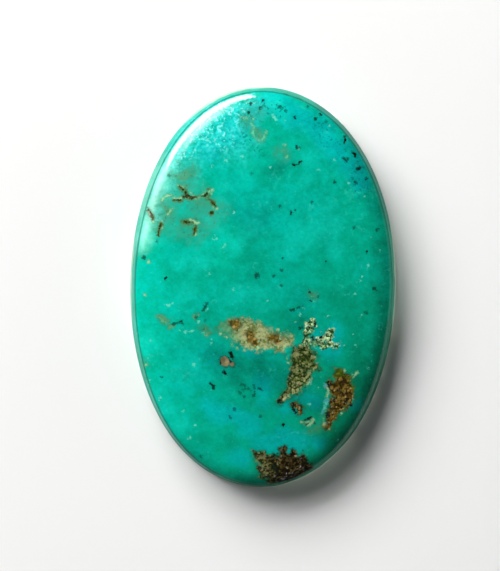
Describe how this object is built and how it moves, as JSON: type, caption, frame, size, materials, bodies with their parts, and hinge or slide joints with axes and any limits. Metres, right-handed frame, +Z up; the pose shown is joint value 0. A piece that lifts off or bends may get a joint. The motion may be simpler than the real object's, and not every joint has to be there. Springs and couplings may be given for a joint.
{
  "type": "oval turquoise cabochon",
  "caption": "Loose oval turquoise cabochon with a low polished dome, brown and golden matrix and a flat base, for setting in jewellery.",
  "frame": {"origin": "middle of the flat base, at the bottom centre of the stone's box", "axes": "+Z up from the flat base through the dome, +Y along the long side of the oval, +X across it"},
  "size_m": [0.0232, 0.035, 0.0043],
  "materials": {
    "turquoise": "blue-green turquoise polished to a high gloss, clouded with paler and bluer areas, with patches of brown, olive and golden matrix, black specks and fine pale flecks; ground satin wall and base"
  },
  "bodies": {
    "root": {"turquoise_stone": "turquoise"}
  },
  "joints": []
}
